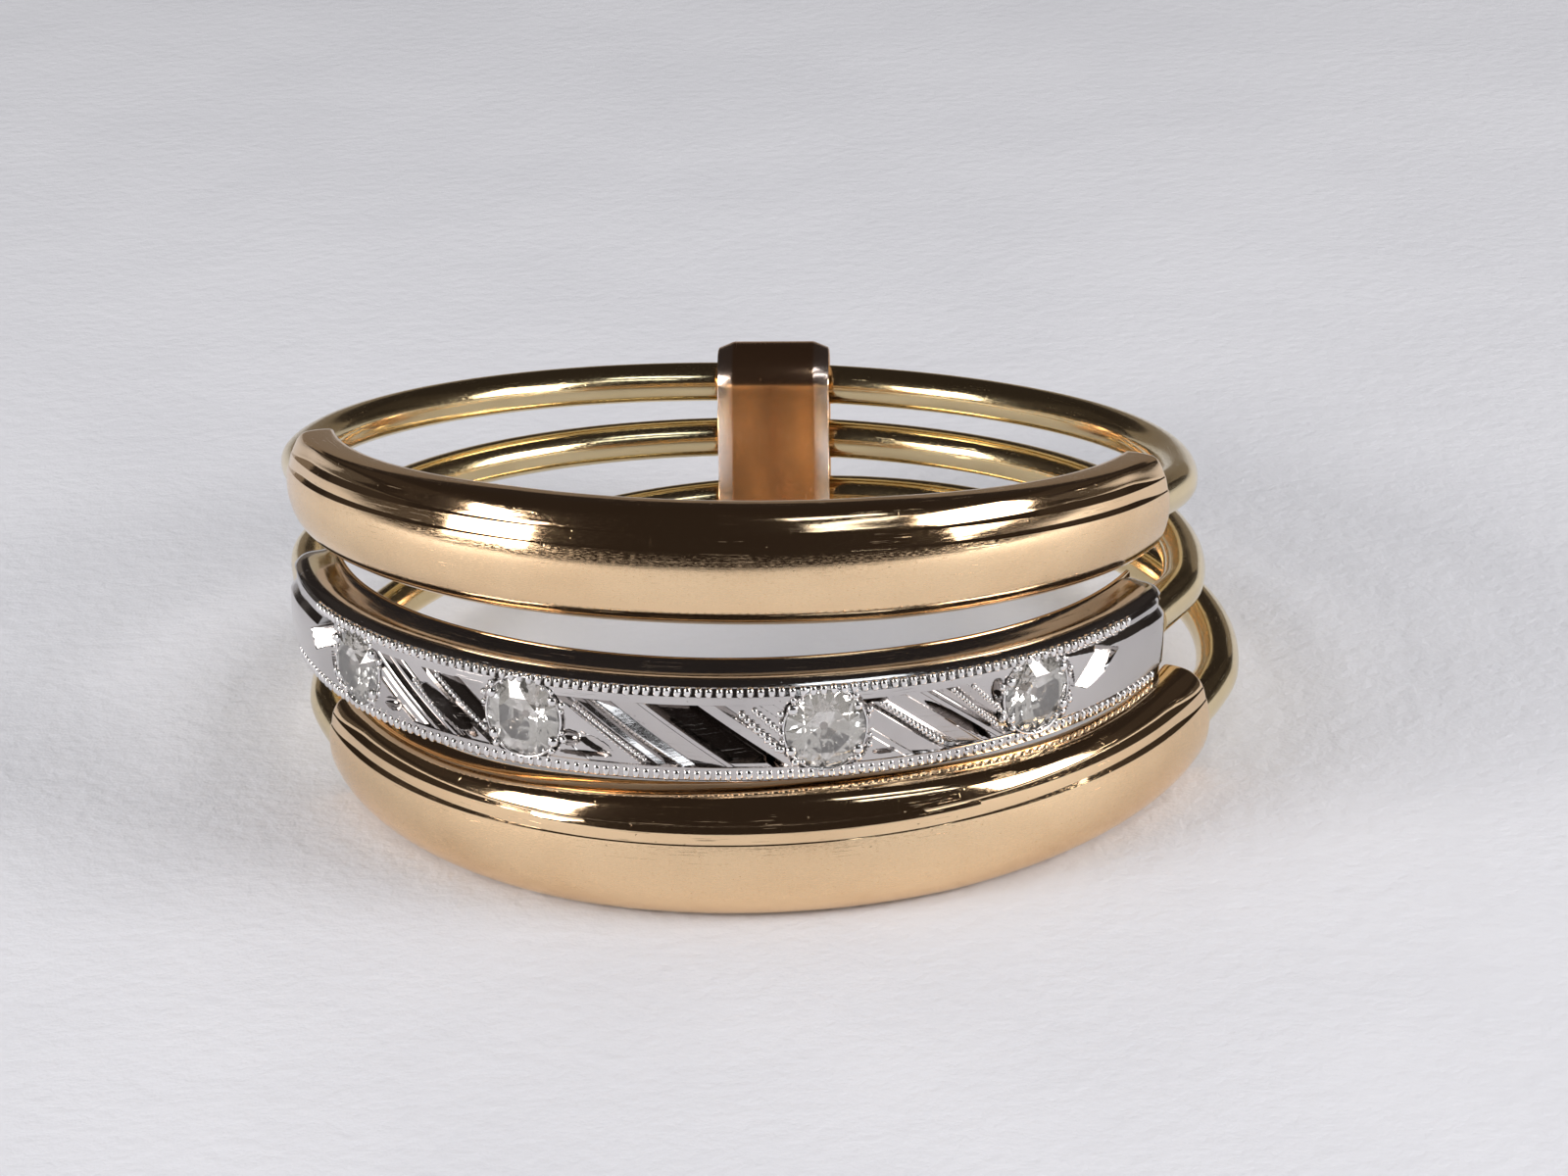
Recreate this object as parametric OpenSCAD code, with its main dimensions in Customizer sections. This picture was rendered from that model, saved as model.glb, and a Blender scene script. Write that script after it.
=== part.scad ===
// Triple band ring, lying on its side. Three bands, each a round wire shank with a wide
// front section, run through one folded strap, the keeper, at the back. Z is up and lies
// along the finger; the front faces -Y. The origin is on the table under the ring's middle.

/* [Shank] */
// Diameter of the round wire
wire_d = 0.88; // [0.80:0.02:0.92]
// Radius of the circle that the wire's middle follows
wire_line_r = 9.15; // [9.05:0.05:9.25]
// The upper band's radii, as a share of the lower band's
upper_share = 0.98; // [0.975:0.005:0.99]
// The middle band's radii, as a share of the lower band's
middle_share = 0.985; // [0.98:0.005:0.99]

/* [Front sections] */
// Radius of the line that the front sections follow, tighter than the wire's
front_r = 8.8; // [8.7:0.05:8.9]
// How far the centre of that line lies in front of the wire's centre
front_shift = 0.45; // [0.40:0.05:0.50]
// Height of the upper band's section
upper_h = 2.3; // [2.1:0.05:2.35]
// Height of the lower band's section
lower_h = 2.4; // [2.3:0.05:2.5]
// Height of the middle band's section
middle_h = 2.1; // [2.04:0.02:2.12]
// How far the domed face stands outside the section's line
dome_out = 0.52; // [0.48:0.02:0.56]
// How much of its half height each edge of a section loses toward the ends
taper = 0.13; // [0.10:0.01:0.20]
// How far round from the front each section runs, as a turn about its own centre
section_span = 76; // [75:0.5:77]
// The same for the lower band's section
lower_span = 71.5; // [70:0.5:74]

/* [Engraved plate] */
// Height of the plate
plate_h = 2; // [1.92:0.02:2.02]
// How far the plate's borders stand outside the section's line
plate_out = 0.6; // [0.56:0.02:0.64]
// Height of the sunk field between the borders
field_h = 1.3; // [1.2:0.05:1.4]
// Depth of the field
field_depth = 0.07; // [0.05:0.01:0.10]
// How far the field and the stones sit below the plate's middle
field_drop = 0.08; // [0:0.02:0.08]

/* [Stones] */
// Diameter of each stone
stone_d = 1.55; // [1.4:0.05:1.6]
// Depth of a stone below its girdle
pavilion = 0.66; // [0.60:0.02:0.68]
// Height of a stone above its girdle
crown = 0.17; // [0.14:0.01:0.20]
// How far the two inner stones sit from the front, as a turn
inner_turn = 18.1; // [17.1:0.2:19.1]
// How far the two outer stones sit from the front, as a turn
outer_turn = 45.8; // [44.8:0.2:46.8]

/* [Keeper] */
// Width of the strap, along the wires
keeper_w = 2.5; // [2.3:0.1:2.7]
// Thickness of the strap
strap_t = 0.32; // [0.28:0.02:0.36]
// Room between a wire and the strap
keeper_play = 0.18; // [0.17:0.01:0.20]
// Distance from the lower wire to the middle one in the keeper
lower_pitch = 1.64; // [1.60:0.02:1.70]
// Distance from the middle wire to the upper one in the keeper
upper_pitch = 1.1; // [1.06:0.02:1.16]

/* [Hidden] */
$fn = 96;

// Small amounts: a gap between fitted pieces, how far a section stands inside the wire,
// and how much taller a profile is drawn than it is trimmed to
gap = 0.03;
proud = 0.02;
spare = 0.1;

wire_r = wire_d / 2;
inner = wire_r + proud;

// Half the turn that a lug takes up, and how far round the plate runs between the lugs
lug_turn = 1.2;
plate_span = section_span - lug_turn - 0.3;

// Where the plate's back lies, inside the section's line
plate_in = -0.15;

// The stones' turns from the front, left to right
stone_turns = [-outer_turn, -inner_turn, inner_turn, outer_turn];

// Keeper: the loop's inner and outer radius, its place, and the lean of the stack of wires
loop_in = wire_r + keeper_play;
loop_out = loop_in + strap_t;
keeper_x = 0.36;
keeper_y = 8.695;
keeper_lean = 12;
keeper_roll = 1.6;
keeper_yaw = -3;

// How each band lies: tilt lifts the front, roll drops the right side, yaw swings the band
// about the keeper, and slide is how far its wire has run through the keeper
TILT = 0;
ROLL = 1;
YAW = 2;
SLIDE = 3;

// The ring stands on the lower band's front and on the keeper: the distance between the
// two, and how far the keeper's turn lifts it off its lower corner
rest_reach = 18.7;
rest_lift = 0.035;
rest_tilt = -asin((lower_h / 2 - loop_out) / rest_reach);
lower_pose = [rest_tilt, 0, -1.2, -1.8];
middle_pose = [-3.75, 2.2, -4.4, -4.6];
upper_pose = [-9.4, 3.4, -5.15, -1.2];

// Height of each wire's seat up the keeper, counted from the lower one
levels = [0, lower_pitch, lower_pitch + upper_pitch];

function seat(i) = [keeper_x, keeper_y + levels[i] * sin(keeper_lean),
    rest_lift + loop_out + levels[i] * cos(keeper_lean)];

// The wires bow forward inside the keeper, so it sits half of that bow in front of their line
bow = keeper_w * keeper_w / (16 * wire_line_r);

// Puts a band, drawn about the centre of its wire, where it lies in the ring
module lay(pose, level, share) {
    translate(seat(level))
    rotate([pose[TILT], pose[ROLL], 0])
    rotate([0, 0, pose[YAW]])
    translate([0, -share * wire_line_r, 0])
    rotate([0, 0, pose[SLIDE]])
    children();
}

// Round wire from behind one end of the front section, round the back, to the other end
module shank(start, share) {
    rotate([0, 0, start - 90])
    rotate_extrude(angle = 360 - 2 * start)
    translate([share * wire_line_r, 0])
    circle(wire_r);
}

// A flat profile, drawn outward from the section's line, swept over part of the front
module arc_of(from, to, share) {
    translate([0, -front_shift, 0])
    rotate([0, 0, from - 90])
    rotate_extrude(angle = to - from)
    translate([share * front_r, 0])
    children();
}

// Trims what it is given to a height that is full across the front and falls to both ends
module trimmed(height) {
    full = 4.5;
    end = 9.2;
    far = 12;
    half = height / 2;
    low = half * (1 - taper);
    fall = half - (half - low) * (far - full) / (end - full);
    intersection() {
        children();
        rotate([90, 0, 0])
        linear_extrude(30, center = true)
        polygon([[-far, -fall], [-full, -half], [full, -half], [far, -fall],
            [far, fall], [full, half], [-full, half], [-far, fall]]);
    }
}

// Domed section: flat inside, and outside a round arc that falls back almost to the line
module dome_profile(height) {
    half = height / 2;
    edge = -0.05;
    middle = (edge * edge + half * half - dome_out * dome_out) / (2 * (edge - dome_out));
    intersection() {
        translate([-inner, -half - spare])
        square([inner + dome_out + spare, height + 2 * spare]);
        translate([middle, 0])
        circle(dome_out - middle, $fn = 240);
    }
}

// White gold plate: a narrow slope below, two borders with a sunk field between them, and
// above them a broad shoulder that falls back to the yellow gold
module plate_profile() {
    slope_x = 0.1;
    back_x = -0.1;
    half = plate_h / 2;
    field = field_h / 2;
    lip = field + 0.03;
    deep = plate_out - field_depth;
    top = half + spare;
    polygon([[plate_in, -top], [slope_x, -top], [slope_x, -half], [plate_out, 0.08 - half],
        [plate_out, -lip - field_drop], [deep, -field - field_drop], [deep, field - field_drop],
        [plate_out, lip - field_drop], [plate_out, lip + 0.04], [plate_out - 0.08, half - 0.15],
        [plate_out - 0.3, half - 0.05], [back_x, half], [back_x, top], [plate_in, top]]);
}

// A yellow gold band: the wire shank soldered to the ends of a domed section
module gold_band(height, span, share) {
    shank(span - 5.5, share);
    trimmed(height)
    arc_of(-span, span, share)
    dome_profile(height);
}

// A stone with its table outward, drawn along Z from the section's line, grown by room
module stone_shape(room) {
    girdle = 0.05;
    girdle_x = plate_out - field_depth - 0.06;
    r = stone_d / 2 + room;
    culet_r = 0.1 + room;
    table_r = 0.28 * stone_d + room;
    translate([0, 0, girdle_x - pavilion - room])
    cylinder(r1 = culet_r, r2 = r, h = pavilion + room);
    translate([0, 0, girdle_x])
    cylinder(r = r, h = girdle);
    translate([0, 0, girdle_x + girdle])
    cylinder(r1 = r, r2 = table_r, h = crown + room);
}

// Stands its children on the section's line, at the field's middle and a given turn
module on_face(turn) {
    translate([0, -front_shift, 0])
    rotate([0, 0, turn])
    translate([0, -middle_share * front_r, -field_drop])
    rotate([90, 0, 0])
    children();
}

module stone(n) {
    lay(middle_pose, 1, middle_share)
    on_face(stone_turns[n - 1])
    stone_shape(0);
}

module seats() {
    for (turn = stone_turns)
        on_face(turn)
        stone_shape(gap);
}

module upper_band() {
    color([0.85, 0.68, 0.42])
    lay(upper_pose, 2, upper_share)
    gold_band(upper_h, section_span, upper_share);
}

module lower_band() {
    color([0.85, 0.68, 0.42])
    lay(lower_pose, 0, 1)
    gold_band(lower_h, lower_span, 1);
}

// Yellow gold wire, the backing that carries the plate, and a lug at each end of it
module middle_band() {
    color([0.85, 0.68, 0.42])
    lay(middle_pose, 1, middle_share)
    difference() {
        union() {
            shank(73.2, middle_share);
            trimmed(middle_h)
            arc_of(-section_span, section_span, middle_share)
            backing_profile();
            for (side = [-1, 1])
                arc_of(side * section_span - lug_turn, side * section_span + lug_turn, middle_share)
                lug_profile();
        }
        seats();
    }
}

module backing_profile() {
    translate([-inner, -middle_h / 2 - spare])
    square([plate_in - gap + inner, middle_h + 2 * spare]);
}

module lug_profile() {
    lug_h = 1.3;
    translate([gap - inner, -lug_h / 2])
    square([inner - gap + plate_out - 0.25, lug_h]);
}

module engraved_plate() {
    color([0.78, 0.78, 0.80])
    lay(middle_pose, 1, middle_share)
    difference() {
        trimmed(plate_h)
        arc_of(-plate_span, plate_span, middle_share)
        plate_profile();
        seats();
    }
}

// The strap as a flat-sided loop round the three wires
module loop(r) {
    reach = levels[2];
    rotate([0, 90, 0]) {
        cylinder(r = r, h = keeper_w, center = true);
        translate([-reach, 0, 0])
        cylinder(r = r, h = keeper_w, center = true);
        translate([-reach, -r, -keeper_w / 2])
        cube([reach, 2 * r, keeper_w]);
    }
}

module keeper() {
    through = 2;
    color([0.80, 0.56, 0.42])
    translate(seat(0) - [0, bow, 0])
    rotate([-keeper_lean, keeper_roll, keeper_yaw])
    difference() {
        loop(loop_out);
        scale([through, 1, 1])
        loop(loop_in);
    }
}

upper_band();
middle_band();
engraved_plate();
stone(1);  // stone_1
stone(2);  // stone_2
stone(3);  // stone_3
stone(4);  // stone_4
lower_band();
keeper();
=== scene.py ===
"""Triple band ring: fine surfaces, finishes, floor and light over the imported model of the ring.

Sizes are in millimetres unless a name says otherwise, and turns are in degrees. Each band is worked
out about the centre of its own wire, front toward -Y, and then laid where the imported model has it.
"""
import logging
import math
from dataclasses import dataclass, field
from enum import Enum
from typing import Any, Callable, Sequence

import bmesh
import bpy
import numpy as np
from mathutils import Matrix, Vector


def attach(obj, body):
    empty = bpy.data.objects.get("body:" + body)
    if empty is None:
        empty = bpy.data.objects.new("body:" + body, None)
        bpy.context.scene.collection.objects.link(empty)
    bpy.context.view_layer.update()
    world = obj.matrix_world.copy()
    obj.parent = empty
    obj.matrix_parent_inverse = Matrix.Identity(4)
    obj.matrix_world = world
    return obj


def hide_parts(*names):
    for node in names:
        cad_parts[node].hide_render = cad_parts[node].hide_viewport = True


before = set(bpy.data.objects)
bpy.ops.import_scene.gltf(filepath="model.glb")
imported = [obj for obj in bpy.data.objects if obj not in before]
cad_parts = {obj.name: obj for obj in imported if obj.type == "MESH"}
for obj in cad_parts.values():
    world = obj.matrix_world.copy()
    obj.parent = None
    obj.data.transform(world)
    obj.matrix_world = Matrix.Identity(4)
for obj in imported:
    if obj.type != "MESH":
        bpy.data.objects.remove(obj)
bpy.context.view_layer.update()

MM = 0.001
GRAIN = "grain"
FIELD_LOW, FIELD_HIGH = -0.76, 0.46
Array = np.ndarray
Colour = tuple[float, float, float, float]
Material = bpy.types.Material
Socket = bpy.types.NodeSocket
log = logging.getLogger("ring")


class Body(Enum):
    """The bodies that the ring moves as."""

    MIDDLE = "middle"
    UPPER = "upper"
    LOWER = "lower"


class Slot(Enum):
    """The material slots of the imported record."""

    YELLOW = "yellow_gold"
    WHITE = "white_gold"
    KEEPER = "keeper_gold"
    STONE = "stone"


def smooth(x: Array | float, low: float, high: float) -> Array:
    """Rises smoothly from 0 at low to 1 at high."""
    t = np.clip((np.asarray(x, float) - low) / (high - low), 0, 1)
    return t * t * (3 - 2 * t)


def turned(points: Array, axis: str, degrees: float) -> Array:
    """Points turned about one axis through the origin."""
    return points @ np.array(Matrix.Rotation(math.radians(degrees), 3, axis)).T


def normal(degrees: float) -> Array:
    """Unit direction in a section's plane, at so many degrees above straight out."""
    a = math.radians(degrees)
    return np.array([math.cos(a), math.sin(a)])


def distances(line: Array) -> Array:
    """Distance of each point of a line from its first, along the line."""
    return np.concatenate([[0], np.cumsum(np.linalg.norm(np.diff(line, axis=0), axis=1))])


def curve_between(start: Array, start_lean: float, end: Array, end_lean: float, count: int) -> Array:
    """A smooth curve whose surface faces a given way at each end.

    Args:
        start: First point, as out and up.
        start_lean: Degrees above straight out that the surface faces at the start.
        end: Last point.
        end_lean: The same at the end.
        count: Number of points, both ends included.

    Returns:
        The points, one a row.
    """
    reach = 0.38 * np.linalg.norm(end - start)
    along = [np.array([-n[1], n[0]]) for n in (normal(start_lean), normal(end_lean))]
    p1, p2 = start + reach * along[0], end - reach * along[1]
    t = np.linspace(0, 1, count)[:, None]
    return (1 - t) ** 3 * start + 3 * (1 - t) ** 2 * t * p1 + 3 * (1 - t) * t**2 * p2 + t**3 * end


@dataclass
class MeshMaker:
    """Gathers the points and faces of one piece.

    Each point has its place along and across the metal's grain, and a mark from 0 to 1 that tells
    the finish where the metal is rubbed, where it is darkened in the plate's deep cuts, and where a
    painted highlight lies on the keeper's sloped edges.
    """

    name: str
    points: list[Array] = field(default_factory=list)
    grain: list[Array] = field(default_factory=list)
    faces: list[tuple[int, ...]] = field(default_factory=list)
    total: int = 0

    def add(self, points: Array, faces: Sequence[Sequence[int]], grain: Array | None = None) -> None:
        """Adds a loose lot of points with the faces between them.

        Args:
            points: The points, one a row.
            faces: Their indices, face by face, counted from this lot's first point.
            grain: Place along the grain for each point, or None to use the points themselves.
        """
        self.points.append(points)
        self.grain.append(points if grain is None else grain)
        self.faces += [tuple(i + self.total for i in f) for f in faces]
        self.total += len(points)

    def sweep(self, rings: Array, along: Array, caps: bool = True, mark: Array | float = 0.0) -> None:
        """Joins closed outlines, one after another, into a tube.

        Args:
            rings: Outlines as an array of rings, points and coordinates.
            along: Each ring's distance along the piece.
            caps: Whether the first and last outlines are closed off.
            mark: The mark of each point of an outline, from 0 to 1.
        """
        n, m = rings.shape[:2]
        around = distances(rings[n // 2])
        grain = np.zeros_like(rings)
        grain[:, :, 0], grain[:, :, 1], grain[:, :, 2] = along[:, None], around[None, :], mark
        a = np.arange(n - 1)[:, None] * m + np.arange(m)[None, :]
        b = np.arange(n - 1)[:, None] * m + (np.arange(m)[None, :] + 1) % m
        quads = np.stack([a, b, b + m, a + m], -1).reshape(-1, 4)
        faces = quads.tolist()
        if caps:
            faces += [list(range(m))[::-1], [(n - 1) * m + k for k in range(m)]]
        if self._inside_out(rings.reshape(-1, 3), quads):
            faces = [f[::-1] for f in faces]
        self.add(rings.reshape(-1, 3), faces, grain.reshape(-1, 3))

    @staticmethod
    def _inside_out(points: Array, quads: Array) -> bool:
        """Whether the faces, as wound, enclose a negative volume.

        Args:
            points: The points, one a row.
            quads: The faces' indices.

        Returns:
            True if they do.
        """
        p = points[quads]
        volume = np.einsum("ij,ij->i", p[:, 0], np.cross(p[:, 1], p[:, 2])).sum()
        return volume + np.einsum("ij,ij->i", p[:, 0], np.cross(p[:, 2], p[:, 3])).sum() < 0

    def build(self, body: Body, slot: Slot, finish: Material, sharp: float = 40,
              nodes: Sequence[str] = ()) -> bpy.types.Object:
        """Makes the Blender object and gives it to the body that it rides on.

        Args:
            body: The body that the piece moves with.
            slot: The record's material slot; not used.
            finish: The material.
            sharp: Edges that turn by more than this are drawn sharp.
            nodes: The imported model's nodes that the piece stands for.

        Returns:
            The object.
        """
        mesh = bpy.data.meshes.new(self.name)
        mesh.from_pydata((np.concatenate(self.points) * MM).tolist(), [], self.faces)
        mesh.polygons.foreach_set("use_smooth", [True] * len(mesh.polygons))
        mesh.set_sharp_from_angle(angle=math.radians(sharp))
        held = mesh.attributes.new(GRAIN, "FLOAT_VECTOR", "POINT")
        held.data.foreach_set("vector", np.concatenate(self.grain).astype(np.float32).ravel())
        mesh.materials.append(finish)
        mesh.validate()
        piece = bpy.data.objects.new(self.name, mesh)
        bpy.context.scene.collection.objects.link(piece)
        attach(piece, body.value)
        if nodes:
            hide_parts(*nodes)
        log.info("%s: %d points, %d faces", self.name, len(mesh.vertices), len(mesh.polygons))
        return piece


def math_operator(operation: str, flipped: bool = False) -> Callable[["Val", Any], "Val"]:
    """Makes an operator of Val out of one kind of Math node.

    Args:
        operation: The kind.
        flipped: Whether the other value comes first.

    Returns:
        The operator.
    """

    def apply(val: "Val", other: Any) -> "Val":
        """Adds the node for one use of the operator.

        Args:
            val: The Val whose operator it is.
            other: The Val or number on its other side.

        Returns:
            The result.
        """
        values = (other, val) if flipped else (val, other)
        node = val.paint.node("ShaderNodeMath", {"operation": operation}, dict(enumerate(values)))
        return Val(val.paint, node.outputs[0])

    return apply


class Val:
    """A number that changes over a surface. Python's operators on it add Math nodes."""

    __add__ = __radd__ = math_operator("ADD")
    __mul__ = __rmul__ = math_operator("MULTIPLY")
    __sub__ = math_operator("SUBTRACT")
    __rsub__ = math_operator("SUBTRACT", flipped=True)

    def __init__(self, paint: "Paint", socket: Socket) -> None:
        """Wraps a node's output socket."""
        self.paint = paint
        self.socket = socket

    def between(self, low: float, high: float) -> "Val":
        """Rises smoothly from 0 at low to 1 at high.

        Args:
            low: Where the rise begins.
            high: Where it ends.

        Returns:
            The value after the rise.
        """
        node = self.paint.node(
            "ShaderNodeMapRange", {"interpolation_type": "SMOOTHSTEP"}, {0: self, 1: low, 2: high})
        return Val(self.paint, node.outputs[0])


class Paint:
    """One material and the few kinds of node that its finish is made of."""

    def __init__(self, name: str) -> None:
        """Starts an empty material with a Principled shader.

        Args:
            name: The material's name.
        """
        self.material = bpy.data.materials.new(name)
        self.material.use_nodes = True
        self.tree = self.material.node_tree
        self.tree.nodes.clear()
        self.shader = self.node("ShaderNodeBsdfPrincipled")
        self.node("ShaderNodeOutputMaterial", {}, {"Surface": self.shader.outputs[0]})

    def node(self, kind: str, settings: dict[str, Any] | None = None,
             inputs: dict[Any, Any] | None = None) -> bpy.types.Node:
        """Adds a node.

        Args:
            kind: The node's type name.
            settings: Properties, set before the inputs.
            inputs: Values, sockets or Vals for its inputs, by name or number.

        Returns:
            The node.
        """
        node = self.tree.nodes.new(kind)
        for key, value in (settings or {}).items():
            setattr(node, key, value)
        for key, value in (inputs or {}).items():
            self.feed(node.inputs[key], value)
        return node

    def feed(self, socket: Socket, value: Any) -> None:
        """Links a Val or a socket into an input, or sets a plain value on it.

        Args:
            socket: The input.
            value: What it gets.
        """
        if isinstance(value, Val):
            value = value.socket
        if isinstance(value, Socket):
            self.tree.links.new(value, socket)
        else:
            socket.default_value = value

    def grain(self, stretch: tuple[float, float, float]) -> Socket:
        """Place along and across the metal's grain in millimetres, each scaled by stretch.

        Args:
            stretch: Scale along the grain, across it, and of the mark.

        Returns:
            The scaled place.
        """
        place = self.node("ShaderNodeAttribute", {"attribute_name": GRAIN})
        scaled = self.node("ShaderNodeVectorMath", {"operation": "MULTIPLY"},
                           {0: place.outputs["Vector"], 1: stretch})
        return scaled.outputs[0]

    def mark(self) -> Val:
        """The mark, from 0 to 1, that is kept with the grain.

        Returns:
            The mark.
        """
        place = self.node("ShaderNodeAttribute", {"attribute_name": GRAIN})
        parts = self.node("ShaderNodeSeparateXYZ", {}, {0: place.outputs["Vector"]})
        return Val(self, parts.outputs[2])

    def place(self, per_mm: float) -> Socket:
        """Place in the piece, in units of which there are per_mm in a millimetre.

        Args:
            per_mm: Units in a millimetre.

        Returns:
            The place.
        """
        coords = self.node("ShaderNodeTexCoord")
        scaled = self.node("ShaderNodeVectorMath", {"operation": "SCALE"},
                           {0: coords.outputs["Object"], "Scale": per_mm / MM})
        return scaled.outputs[0]

    def noise(self, at: Socket, detail: float = 2, rough: float = 0.5) -> Val:
        """Noise between 0 and 1 with a cell of one unit of the place given.

        Args:
            at: The place.
            detail: Number of finer layers.
            rough: Strength of each finer layer.

        Returns:
            The noise.
        """
        node = self.node("ShaderNodeTexNoise", {}, {"Vector": at, "Scale": 1.0, "Detail": detail,
                                                    "Roughness": rough})
        return Val(self, node.outputs[0])

    def mix(self, share: Any, first: Any, second: Any) -> Socket:
        """A colour between two others."""
        node = self.node("ShaderNodeMix", {"data_type": "RGBA"}, {0: share, 6: first, 7: second})
        return node.outputs[2]

    def bump(self, height: Val, depth_mm: float) -> None:
        """Raises the surface by height, from 0 to 1, times a depth.

        Args:
            height: The height.
            depth_mm: The depth in millimetres.
        """
        node = self.node("ShaderNodeBump", {}, {"Height": height, "Strength": 1.0,
                                                "Distance": depth_mm * MM})
        self.feed(self.shader.inputs["Normal"], node.outputs[0])


@dataclass(frozen=True)
class Gold:
    """A worn polish on gold: fine scratches along and across, and a colour laid where the mark is:
    darker in the plate's deepest cuts and stone seats, a painted highlight on the keeper's sloped edges.

    Attributes:
        name: The finish's name.
        colour: The clean metal's colour.
        dull: The colour of metal that has dulled.
        gloss: Roughness of the clean polish.
        wear: How much the scratches roughen the polish.
        veil: Roughness of the finest scratches, too fine to be told apart.
        depth: Depth of the scratches.
        rubbed: Roughness that metal under the mark has besides.
        mark_tint_and_highlight: Colour laid where the mark is, or None for the clean metal's own: a
            darker tint in the plate's deep cuts, a painted highlight on the keeper's sloped edges.
    """

    name: str
    colour: Colour
    dull: Colour
    gloss: float = 0.07
    wear: float = 0.12
    veil: float = 0.16
    depth: float = 0.0012
    rubbed: float = 0.0
    mark_tint_and_highlight: Colour | None = None

    def make(self) -> Material:
        """Builds the material.

        Returns:
            The material.
        """
        paint = Paint(self.name)
        cloud = paint.noise(paint.place(0.45), 3).between(0.35, 0.75)
        along = paint.noise(paint.grain((0.5, 26.0, 0.0)), 3, 0.6)
        across = paint.noise(paint.grain((13.0, 2.2, 0.0)), 2, 0.6)
        hairs = along.between(0.60, 0.68) * paint.noise(paint.place(1.1)).between(0.42, 0.62)
        nicks = across.between(0.70, 0.76) * paint.noise(paint.place(0.8)).between(0.5, 0.65)
        pits = paint.noise(paint.place(9.0), 1).between(0.74, 0.80)
        satin = paint.noise(paint.grain((9.0, 95.0, 0.0)), 1).between(0.42, 0.68)
        mark = paint.mark()
        colour = paint.mix(cloud * 0.55 + pits * 0.4, self.colour, self.dull)
        # Where the mark is, the colour turns to the mark colour: darker in the plate's deep cuts, a painted
        # highlight on the keeper's sloped edges.
        if self.mark_tint_and_highlight:
            colour = paint.mix(mark, colour, self.mark_tint_and_highlight)
        paint.feed(paint.shader.inputs["Base Color"], colour)
        scratched = hairs * self.wear + nicks * self.wear
        paint.feed(paint.shader.inputs["Roughness"],
                   cloud * 0.03 + scratched + satin * (mark * self.rubbed + self.veil) + self.gloss)
        paint.shader.inputs["Metallic"].default_value = 1.0
        ripple = paint.noise(paint.place(0.7), 1) * 6.0
        paint.bump(ripple + along * 0.5 - hairs * 0.8 - nicks - pits * 1.5, self.depth)
        return paint.material


@dataclass(frozen=True)
class Gem:
    """A small old cut stone: clear with a grey cast and a faint haze inside."""

    name: str
    colour: Colour = (0.92, 0.89, 0.84, 1.0)
    haze: Colour = (0.66, 0.62, 0.56, 1.0)

    def make(self) -> Material:
        """Builds the material.

        Returns:
            The material.
        """
        paint = Paint(self.name)
        cloud = paint.noise(paint.place(2.6), 4).between(0.42, 0.75)
        paint.feed(paint.shader.inputs["Base Color"], paint.mix(cloud, self.colour, self.haze))
        paint.feed(paint.shader.inputs["Roughness"], cloud * 0.012 + 0.002)
        paint.shader.inputs["IOR"].default_value = 2.2
        paint.shader.inputs["Transmission Weight"].default_value = 0.92
        return paint.material


@dataclass(frozen=True)
class Sheet:
    """A pale matt sheet, faintly blotched and with a fine tooth."""

    name: str = "pale_sheet"
    shade: Colour = (0.75, 0.765, 0.82, 1.0)
    colour: Colour = (0.79, 0.805, 0.86, 1.0)
    rough: float = 0.9
    tooth: float = 0.05

    def make(self) -> Material:
        """Builds the material.

        Returns:
            The material.
        """
        paint = Paint(self.name)
        blotch = paint.noise(paint.place(0.12), 4, 0.6)
        fibre = paint.noise(paint.place(2.2), 3, 0.6)
        colour = paint.mix(blotch.between(0.3, 0.7), self.shade, self.colour)
        paint.feed(paint.shader.inputs["Base Color"], colour)
        paint.shader.inputs["Roughness"].default_value = self.rough
        paint.bump(fibre + blotch, self.tooth)
        return paint.material


@dataclass(frozen=True)
class WireStack:
    """The three wires where they pass through the keeper, and the keeper's own place and turn."""

    wire_r: float = 0.44
    play: float = 0.18
    strap_t: float = 0.32
    strap_w: float = 2.5
    lower_pitch: float = 1.64
    upper_pitch: float = 1.1
    x: float = 0.36
    y: float = 8.695
    lift: float = 0.035
    lean: float = 12.0
    roll: float = 1.6
    yaw: float = -3.0
    line_r: float = 9.15

    @property
    def inner(self) -> float:
        """Radius of the strap's inside where it wraps a wire."""
        return self.wire_r + self.play

    @property
    def outer(self) -> float:
        """Radius of the strap's outside."""
        return self.inner + self.strap_t

    def level(self, i: int) -> float:
        """Distance of a wire up the stack from the lowest."""
        return (0.0, self.lower_pitch, self.lower_pitch + self.upper_pitch)[i]

    def seat(self, i: int) -> Array:
        """Where a wire's middle passes through the keeper.

        Args:
            i: The wire's place in the stack, from below.

        Returns:
            The point.
        """
        a = math.radians(self.lean)
        up = self.level(i)
        return np.array([self.x, self.y + up * math.sin(a), self.lift + self.outer + up * math.cos(a)])


STACK = WireStack()


@dataclass(frozen=True)
class Lay:
    """How one band lies in the ring.

    Attributes:
        level: The band's place in the stack of wires, from below.
        tilt: Lifts the front when negative.
        roll: Drops the right side.
        yaw: Swings the band about the keeper.
        slide: How far the wire has run through the keeper.
        share: The band's radii as a share of the lower band's.
    """

    level: int
    tilt: float
    roll: float
    yaw: float
    slide: float
    share: float

    def place(self, points: Array) -> Array:
        """Points drawn about the wire's centre, where the band lies.

        Args:
            points: The points as drawn.

        Returns:
            The points in the ring.
        """
        spun = turned(points, "Z", self.slide) - [0, self.share * STACK.line_r, 0]
        tipped = turned(turned(turned(spun, "Z", self.yaw), "X", self.tilt), "Y", self.roll)
        return tipped + STACK.seat(self.level)


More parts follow.
